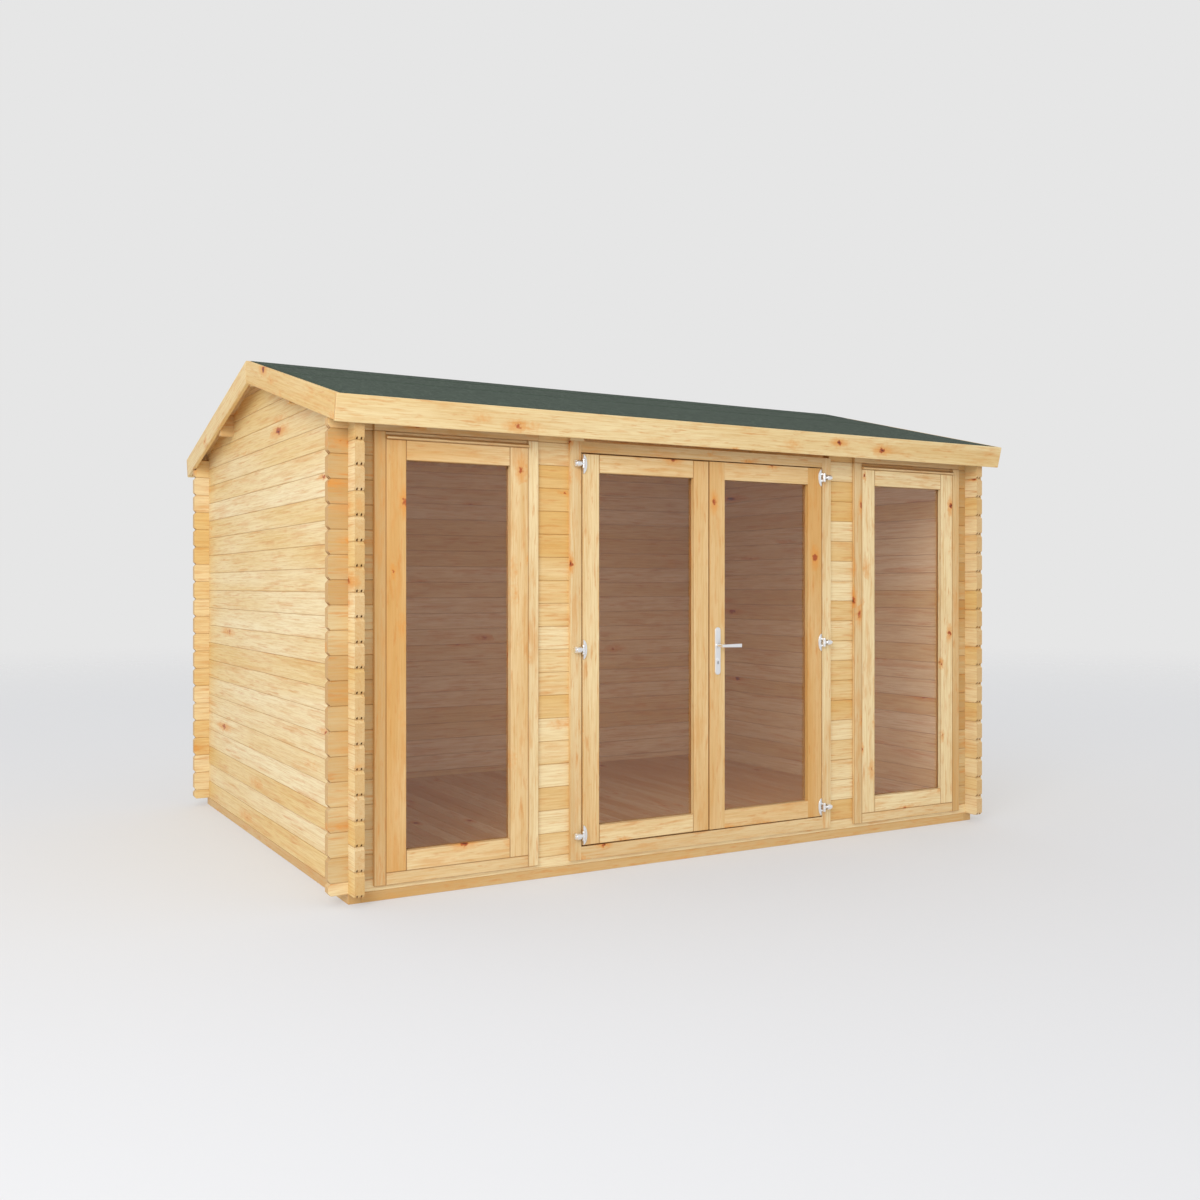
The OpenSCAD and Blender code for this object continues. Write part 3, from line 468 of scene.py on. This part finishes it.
def felt_strip(bm, u0, u1, rise_of):
    """One strip of felt between two places down the slope, with a slight ripple, from a grid."""
    steps_along, step_down, ripple_rise = 66, 0.06, 0.0006
    grid = bmesh.ops.create_grid(bm, x_segments=steps_along, y_segments=max(6, round(abs(u1 - u0) / step_down)),
                                 size=1.0)["verts"]
    for vert in grid:
        x, u = vert.co.x * felt_high.x, u0 + (vert.co.y + 1) / 2 * (u1 - u0)
        ripple = ripple_rise * math.sin(x * 3.1 + u * 7) * math.sin(u * 11 + x)
        if abs(vert.co.x) >= 0.99:
            ripple = 0.0
        vert.co = on_roof(x, u, rise_of(u) + ripple)
    faces = faces_at(grid)
    bmesh.ops.recalc_face_normals(bm, faces=faces)
    if sum(f.normal.z for f in faces) < 0:
        bmesh.ops.reverse_faces(bm, faces=faces)
    bmesh.ops.solidify(bm, geom=faces, thickness=felt_t - 0.0002)


felt = bmesh.new()
for side in (-1, 1):
    felt_strip(felt, side * lap_at, side * slope_length, lambda u: 0.0)
    felt_strip(felt, side * ridge_gap, side * (lap_at + lap),
               lambda u: lap_rise * min(1.0, (lap_at + lap - abs(u)) / taper) - 0.0001)
felt_strip(felt, -cap_reach, cap_reach,
           lambda u: cap_rise * min(1.0, (cap_reach - abs(u)) / taper)
           - ridge_dip * max(0.0, 1 - abs(u) / ridge_dip_reach) + 0.0005)
for face in felt.faces:
    face.smooth = True

# Mineral felt: bitumen sheet faced with crushed green slate, which scatters light with no gloss. The grit
# is about 1 mm across and is drawn at 7 mm, and in dashes of 13 by 70 mm down the slope, so that it shows.
grit_per_metre, mottle_per_metre, dash_per_metre = 140.0, 9.0, (75.0, 14.0, 14.0)
felt_green, tree = bare_finish("green_mineral_felt")
spot = add(tree, "ShaderNodeTexCoord").outputs["Object"]
grit = add(tree, "ShaderNodeTexVoronoi", {"Vector": spot, "Scale": grit_per_metre})
speck = add(tree, "ShaderNodeSeparateColor", {0: grit.outputs["Color"]})
mottle = add(tree, "ShaderNodeTexNoise", {"Vector": spot, "Scale": mottle_per_metre, "Detail": 3.0})
run = add(tree, "ShaderNodeVectorMath", {0: spot, 1: dash_per_metre}, operation="MULTIPLY")
dash = add(tree, "ShaderNodeTexNoise", {"Vector": run, "Scale": 1.0, "Detail": 3.0, "Roughness": 0.7})
colour = add(tree, "ShaderNodeMix", {"Factor": speck.outputs[0], "A": linear("#303D34"),
                                     "B": linear("#546155")}, data_type="RGBA")
for layer, low, high, most, tint in ((mottle, 0.35, 0.7, 0.4, "#4B5A4C"), (dash, 0.4, 0.65, 0.6, "#303B32"),
                                     (dash, 0.42, 0.25, 0.5, "#6E7C6C")):
    share = add(tree, "ShaderNodeMapRange", {0: layer, 1: low, 2: high, 3: 0.0, 4: most})
    colour = add(tree, "ShaderNodeMix", {"Factor": share, "A": colour, "B": linear(tint)}, data_type="RGBA")
bump = add(tree, "ShaderNodeBump", {"Strength": 0.6, "Distance": 0.0015, "Height": grit.outputs["Distance"]})
surface = add(tree, "ShaderNodeBsdfPrincipled", {"Base Color": colour, "Roughness": 0.95, "Normal": bump,
                                                 "Specular IOR Level": 0.25})
add(tree, "ShaderNodeOutputMaterial", {"Surface": surface.outputs["BSDF"]})
put(felt, "felt_strips", "cabin", felt_green, "roof_felt")


# Bargeboards and fascias. Planed pine boards nailed round the roof's edge: two bargeboards on each
# gable, mitred plumb at the ridge, and a fascia along each eaves. They stand up to the felt's edge.

trim_arris = 0.004
trim_pine = pine("trim_pine", board_grain, "#F8E4B2", "#E8C480", 0.7)
for node in ("left_bargeboards", "right_bargeboards", "front_fascia", "back_fascia"):
    put_planed(node, "cabin", trim_arris, trim_pine)


# Window and door frames. Channelled pine uprights that slide over the cut log ends, with sills, heads
# and cover boards. The logs settle behind them, so the frames are not fixed to the logs.

# The eased edges of frames and sashes get painted shade, dark lines where the parts meet.
frame_arris, joinery_edge_shade = 0.0025, 1.6
frame_shades = {"left_window_frame": (0.95, 0.6, 0.5, 0.6, 0.25),
                "right_window_frame": (0.65, 0.55, 0.5, 0.35, 0.6),
                "door_frame": (0.4, 0.4, 0.5, 0.55, 0.2)}
# The frame pine's honey is warmer and darker than the side logs' pine: partly the wood's tone and partly painted
# shade for the front faces, which get less light.
frame_pine = pine("frame_pine", board_grain, "#F7E0AE", "#D3A96E", 0.7)
for node in ("left_window_frame", "right_window_frame", "door_frame", "window_drip_bars"):
    put_planed(node, "cabin", frame_arris, frame_pine, frame_shades.get(node, ()), joinery_edge_shade)


# Sashes and door leaves. Glued-up pine stiles and rails, rebated for the pane, and beads that hold
# the glass from inside. The window sashes are fixed, and the leaves swing outwards.

sash_arris = 0.0028
# The right window sash's tones below zero make it paler than chance would give: painted light, lifting the right
# of the front, which gets less of the lamp.
sash_shades = {"left_window_sash": (0.85, 0.35, 0.35, 0.3), "left_door_leaf": (0.3, 0.45, 0.6, 0.65),
               "right_door_leaf": (0.7, 0.4, 0.55, 0.75), "right_window_sash": (-0.3, -0.1, -0.1, -0.3)}
# The sash pine's honey is warmer and darker than the side logs' pine: partly the wood's tone and partly painted
# shade for the front faces, which get less light.
sash_pine = pine("sash_pine", board_grain, "#F8E2B0", "#DDAA64", 0.9)
for node, body in (("left_window_sash", "cabin"), ("right_window_sash", "cabin"), ("window_beads", "cabin"),
                   ("left_door_leaf", "left_door"), ("left_door_beads", "left_door"),
                   ("right_door_leaf", "right_door"), ("right_door_beads", "right_door")):
    put_planed(node, body, sash_arris, sash_pine, sash_shades.get(node, ()), joinery_edge_shade)


# Panes. Float glass 4 mm thick, held in the rebates by the beads. It carries a bronze solar tint, so
# the room behind looks brown and dim.

bronze_glass, tree = bare_finish("bronze_float_glass")
surface = add(tree, "ShaderNodeBsdfPrincipled", {"Base Color": linear("#D9CCC9"), "Roughness": 0.02, "IOR": 1.5,
                                                 "Transmission Weight": 1.0})
add(tree, "ShaderNodeOutputMaterial", {"Surface": surface.outputs["BSDF"]})
for node in ("left_window_glass", "right_window_glass", "left_door_glass", "right_door_glass"):
    coat(node, bronze_glass)
    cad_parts[node].visible_shadow = False


# Hinges. Three hinges to each leaf in satin steel. The leaf carries a half-round plate with two short
# knuckles, and the jamb an eye between them on a stepped boss that adjusts the leaf sideways.

# Satin stainless steel: bright, brushed up and down, with soft reflections. The brush lines are under
# 0.1 mm wide and are drawn at 2 mm, 50 mm long.
brush_per_metre = (500.0, 500.0, 20.0)
satin_steel, tree = bare_finish("satin_stainless_steel")
spot = add(tree, "ShaderNodeTexCoord").outputs["Object"]
brushed = add(tree, "ShaderNodeVectorMath", {0: spot, 1: brush_per_metre}, operation="MULTIPLY")
brushed = add(tree, "ShaderNodeTexNoise", {"Vector": brushed, "Scale": 1.0, "Detail": 2.0})
colour = add(tree, "ShaderNodeMix", {"Factor": brushed, "A": linear("#ECEDEE"), "B": linear("#FBFBFB")},
             data_type="RGBA")
gloss = add(tree, "ShaderNodeMapRange", {0: brushed, 1: 0.3, 2: 0.7, 3: 0.3, 4: 0.45})
surface = add(tree, "ShaderNodeBsdfPrincipled", {"Base Color": colour, "Metallic": 1.0, "Roughness": gloss})
add(tree, "ShaderNodeOutputMaterial", {"Surface": surface.outputs["BSDF"]})


def turned(bm, outline, centre, axis, steps=28):
    """A turned shape: an outline of radius and place along the axis, spun all the way round."""
    axis = Vector(axis)
    out = axis.orthogonal().normalized()
    before = set(bm.verts)
    verts = [bm.verts.new(Vector(centre) + axis * place + out * radius) for radius, place in outline]
    edges = [bm.edges.new(pair) for pair in zip(verts, verts[1:])]
    bmesh.ops.spin(bm, geom=verts + edges, cent=centre, axis=axis, angle=2 * math.pi, steps=steps,
                   use_merge=True)
    bmesh.ops.remove_doubles(bm, verts=[v for v in bm.verts if v not in before], dist=1e-6)
    made = [v for v in bm.verts if v not in before]
    bmesh.ops.recalc_face_normals(bm, faces=faces_at(made))


def rounded_block(bm, low, high, width, segments=2):
    """A block with all its edges rounded over."""
    ease(bm, edges_at(block(bm, low, high)), width, segments)


def smooth_steel(bm, name, body, node):
    """Puts a steel piece with its curved faces smooth and its edges crisp."""
    for face in bm.faces:
        face.smooth = True
    piece = put(bm, name, body, satin_steel, node)
    piece.data.set_sharp_from_angle(angle=math.radians(32))


def join(bm, other, name):
    """Adds another mesh to a mesh and lets go of it."""
    shape = bpy.data.meshes.new(name)
    other.to_mesh(shape)
    other.free()
    bm.from_mesh(shape)


def half_round_plate(bm, height):
    """The leaf's hinge plate: an oval disc cut off straight along the leaf's edge, with a rounded brim."""
    oval, oval_shift, cut, thickness, seat = (0.0245, 0.0485, 1.0), 0.003, -0.0005, 0.0062, 0.006
    plate = bmesh.new()
    bmesh.ops.create_circle(plate, cap_ends=True, segments=48, radius=1.0)
    bmesh.ops.scale(plate, vec=oval, verts=plate.verts)
    bmesh.ops.translate(plate, vec=(oval_shift, 0.0, 0.0), verts=plate.verts)
    bmesh.ops.bisect_plane(plate, geom=plate.verts[:] + plate.edges[:] + plate.faces[:], plane_co=(cut, 0, 0),
                           plane_no=(1, 0, 0), clear_outer=True)
    grown = bmesh.ops.extrude_face_region(plate, geom=plate.faces[:])
    top = [v for v in grown["geom"] if isinstance(v, bmesh.types.BMVert)]
    bmesh.ops.translate(plate, vec=(0, 0, thickness), verts=top)
    bmesh.ops.recalc_face_normals(plate, faces=plate.faces)
    brim = [e for e in plate.edges if all(v.co.z > 0.006 for v in e.verts) and e.calc_face_angle() > 0.5]
    ease(plate, brim, steel_brim, 3)
    bmesh.ops.rotate(plate, cent=(0, 0, 0), matrix=Matrix.Rotation(math.radians(90), 3, "X"), verts=plate.verts)
    bmesh.ops.translate(plate, vec=(hinge_x - seat, face_y - sunk, height), verts=plate.verts)
    join(bm, plate, "half_round_plate")


hinge_x, hinge_y, face_y = 0.751, -1.448, -1.428
hinge_heights = (0.187, 1.0855, 1.984)
knuckle_r, eye_half, barrel_half, play = 0.008, 0.0125, 0.025, 0.0006
dome, arris_r, steel_brim, sunk = 0.004, 0.0008, 0.0028, 0.0002
eye_outline = [(0.0, -eye_half), (knuckle_r - arris_r, -eye_half), (knuckle_r, -eye_half + arris_r),
               (knuckle_r, eye_half - arris_r), (knuckle_r - arris_r, eye_half), (0.0, eye_half)]
boss_outline = [(0.0, 0.004), (0.0074, 0.004), (0.0076, 0.0165), (0.0084, 0.0172), (0.0135, 0.0172),
                (0.0152, 0.0179), (0.0158, 0.0194), (0.0158, 0.0395), (0.0152, 0.041), (0.0138, 0.0416),
                (0.0112, 0.0418), (0.0106, 0.0424), (0.0104, 0.0488), (0.0096, 0.0506), (0.0076, 0.0516),
                (0.0, 0.0521)]
foot_near, foot_far, foot_half, foot_round = 0.017, 0.046, 0.0145, 0.003
jamb_parts = {}
for hand in ("left", "right"):
    leaf_part, jamb_part = bmesh.new(), bmesh.new()
    for height in hinge_heights:
        pivot = Vector((hinge_x, hinge_y, height))
        for end in (-1, 1):
            turned(leaf_part, [(0.0, end * (eye_half + play)), (knuckle_r - arris_r, end * (eye_half + play)),
                               (knuckle_r, end * (eye_half + play + arris_r)),
                               (knuckle_r, end * (barrel_half - dome)),
                               (knuckle_r * 0.92, end * (barrel_half - dome * 0.55)),
                               (knuckle_r * 0.7, end * (barrel_half - dome * 0.2)),
                               (knuckle_r * 0.4, end * barrel_half), (0.0, end * barrel_half)],
                   pivot, (0, 0, 1))
            low, high = sorted((height + end * (eye_half + 0.0015), height + end * (barrel_half - dome * 0.6)))
            rounded_block(leaf_part, (hinge_x - 0.0079, hinge_y + 0.001, low),
                          (hinge_x - 0.0035, face_y - 0.001, high), arris_r)
        half_round_plate(leaf_part, height)
        turned(jamb_part, eye_outline, pivot, (0, 0, 1))
        turned(jamb_part, boss_outline, pivot, (1, 0, 0))
        rounded_block(jamb_part, (hinge_x + foot_near, hinge_y, height - foot_half),
                      (hinge_x + foot_far, face_y - sunk, height + foot_half), foot_round)
    if hand == "left":
        for bm in (leaf_part, jamb_part):
            bmesh.ops.scale(bm, vec=(-1, 1, 1), verts=bm.verts)
            bmesh.ops.remove_doubles(bm, verts=bm.verts, dist=1e-6)
            bmesh.ops.recalc_face_normals(bm, faces=bm.faces)
    smooth_steel(leaf_part, hand + "_hinge_knuckles", hand + "_door", hand + "_leaf_hinges")
    jamb_parts[hand] = jamb_part
join(jamb_parts["right"], jamb_parts["left"], "hinge_eyes")
smooth_steel(jamb_parts["right"], "jamb_hinge_eyes", "cabin", "jamb_hinges")


# Handle. A long satin steel plate with round ends on each face of the right leaf, screwed through at its
# ends, a flat bar lever that turns in it, and a profile cylinder below for the key.

def screw_head(bm, centre, axis, radius):
    """A countersunk screw head with a low dome and a dimple for the driver."""
    turned(bm, [(0.0, -0.0002), (radius * 0.3, 0.0), (radius * 0.42, 0.0007), (radius * 0.8, 0.0006),
                (radius, 0.0), (radius, -0.001), (0.0, -0.001)], centre, axis, 16)


handle_x, lever_z, lock_z = 0.0505, 1.085, 1.013
plate_low, plate_high, plate_half, plate_t = 0.934, 1.180, 0.017, 0.008
screw_in, screw_r = 0.014, 0.0042
collar_outline = [(0.0105, -0.001), (0.0135, -0.001), (0.0135, 0.0008), (0.0128, 0.0015), (0.0112, 0.0015),
                  (0.0105, 0.0008)]
inner_face_y = -1.388
plates = bmesh.new()
for outward, at in ((-1, face_y), (1, inner_face_y)):
    front = at + outward * plate_t
    verts = block(plates, (handle_x - plate_half, at, plate_low), (handle_x + plate_half, front, plate_high))
    bmesh.ops.recalc_face_normals(plates, faces=faces_at(verts))
    corners = [e for e in edges_at(verts) if abs(e.verts[0].co.y - e.verts[1].co.y) > plate_t / 2]
    ease(plates, corners, plate_half - 0.0004, 10)
    brim = [e for e in plates.edges if all(abs(v.co.y - front) < 1e-6 for v in e.verts)
            and len(e.link_faces) == 2 and e.calc_face_angle() > 0.5]
    ease(plates, brim, steel_brim, 3)
    for z in (plate_low + screw_in, plate_high - screw_in):
        screw_head(plates, (handle_x, front, z), (0, outward, 0), screw_r)
    turned(plates, collar_outline, (handle_x, front, lever_z), (0, outward, 0))
smooth_steel(plates, "handle_back_plates", "right_door", "handle_plates")

grip_l, grip_back, grip_t, grip_root, grip_tip = 0.116, 0.008, 0.010, 0.0072, 0.0102
spindle_outline = [(0.0, -1.484), (0.0068, -1.484), (0.0072, -1.482), (0.0075, -1.452), (0.0088, -1.443),
                   (0.009, -1.437), (0.009, -1.379), (0.0088, -1.373), (0.0075, -1.364), (0.0072, -1.334),
                   (0.0068, -1.332), (0.0, -1.332)]
lever = bmesh.new()
turned(lever, spindle_outline, (handle_x, 0.0, lever_z), (0, 1, 0))
for at in (-1.483, -1.333):
    verts = block(lever, (handle_x - grip_back, at - grip_t / 2, lever_z - grip_tip),
                  (handle_x + grip_l, at + grip_t / 2, lever_z + grip_tip))
    for vert in verts:
        if vert.co.x < handle_x:
            vert.co.z = lever_z + (grip_root if vert.co.z > lever_z else -grip_root)
    ease(lever, edges_at(verts), steel_brim, 4)
smooth_steel(lever, "lever_handle", "door_lever", "door_lever")

barrel_r, barrel_depth, web_r, foot_drop = 0.0085, 0.004, 0.005, 0.0195
slot_half_w, slot_half_h, slot_rise = 0.0008, 0.0042, 0.0011
barrel_outline = [(0.0, 0.0004), (0.0062, 0.0004), (0.0066, 0.0009), (0.0078, 0.0009), (barrel_r, 0.0003),
                  (barrel_r, -barrel_depth), (0.0, -barrel_depth)]
lock = bmesh.new()
for outward, at in ((-1, face_y - plate_t), (1, inner_face_y + plate_t)):
    turned(lock, barrel_outline, (handle_x, at, lock_z), (0, outward, 0))
    near, far = sorted((at, at - outward * barrel_depth))
    rounded_block(lock, (handle_x - web_r, near, lock_z - foot_drop - web_r),
                  (handle_x + web_r, far, lock_z - 0.004), 0.0012)
    near, far = sorted((at, at + outward * slot_rise))
    rounded_block(lock, (handle_x - slot_half_w, near, lock_z - slot_half_h),
                  (handle_x + slot_half_w, far, lock_z + slot_half_h), 0.0003, 1)
smooth_steel(lock, "key_cylinder", "right_door", "lock_cylinder")


# Studio. A pale light-table floor that fades into an even pale surround, one large soft lamp at the front
# left, a soft panel of daylight in the room, and the camera where the photograph was taken from.

studio_radius, fade_from, fade_to = 60.0, 6.0, 24.0
studio_floor = bmesh.new()
bmesh.ops.create_circle(studio_floor, cap_ends=True, cap_tris=False, segments=96, radius=studio_radius)
bmesh.ops.translate(studio_floor, verts=studio_floor.verts, vec=(0, 0, -0.0005))
floor_mesh = bpy.data.meshes.new("studio_floor")
studio_floor.to_mesh(floor_mesh)
studio_floor.free()
floor_piece = stand("studio_floor", floor_mesh)
paper, tree = bare_finish("studio_paper")
spot = add(tree, "ShaderNodeTexCoord").outputs["Object"]
reach = add(tree, "ShaderNodeVectorMath", {0: spot}, operation="LENGTH")
fade = add(tree, "ShaderNodeMapRange", {0: reach.outputs["Value"], 1: fade_from, 2: fade_to},
           interpolation_type="SMOOTHSTEP")
surface = add(tree, "ShaderNodeBsdfPrincipled", {"Base Color": linear("#BBBCBF"), "Roughness": 0.9,
                                                 "Specular IOR Level": 0.1,
                                                 "Emission Color": linear("#969696"), "Emission Strength": 1.0})
clear = add(tree, "ShaderNodeBsdfTransparent")
blend = add(tree, "ShaderNodeMixShader", {0: fade, 1: surface.outputs["BSDF"], 2: clear})
add(tree, "ShaderNodeOutputMaterial", {"Surface": blend})
floor_mesh.materials.append(paper)

surround = bpy.data.worlds.new("studio_surround")
surround.use_nodes = True
surround.node_tree.nodes.clear()
glow = add(surround.node_tree, "ShaderNodeBackground", {"Color": linear("#E6E6E6"), "Strength": 1.0})
add(surround.node_tree, "ShaderNodeOutputWorld", {"Surface": glow})
bpy.context.scene.world = surround
bpy.context.scene.view_settings.view_transform = "Standard"

key_place, key_aim = Vector((-6.9, -6.9, 5.0)), Vector((0, 0, 1.1))
key = bpy.data.lights.new("soft_key", "AREA")
key.shape, key.size, key.energy = "DISK", 5.0, 335.0
key_lamp = stand("soft_key", key)
key_lamp.location = key_place
key_lamp.rotation_euler = (key_aim - key_place).to_track_quat("-Z", "Y").to_euler()

daylight = bpy.data.lights.new("room_daylight", "AREA")
daylight.shape, daylight.size, daylight.size_y, daylight.energy = "RECTANGLE", 3.2, 1.9, 14.5
daylight.color = linear("#E4EAFF")[:3]
daylight_panel = stand("room_daylight", daylight)
daylight_panel.location = (0.25, -1.28, 1.1)
daylight_panel.rotation_euler = (math.radians(90), 0.0, 0.0)
daylight_panel.visible_camera = daylight_panel.visible_glossy = daylight_panel.visible_transmission = False

camera = bpy.data.cameras.new("photo_camera")
camera.sensor_width, camera.lens, camera.shift_y = 36.0, 36.05, -0.0118
camera.clip_end = 200.0
photo_camera = stand("photo_camera", camera)
photo_camera.location = (-3.5857, -6.5048, 1.3936)
photo_camera.rotation_euler = (math.radians(90), 0.0, math.radians(-30.042))
bpy.context.scene.camera = photo_camera
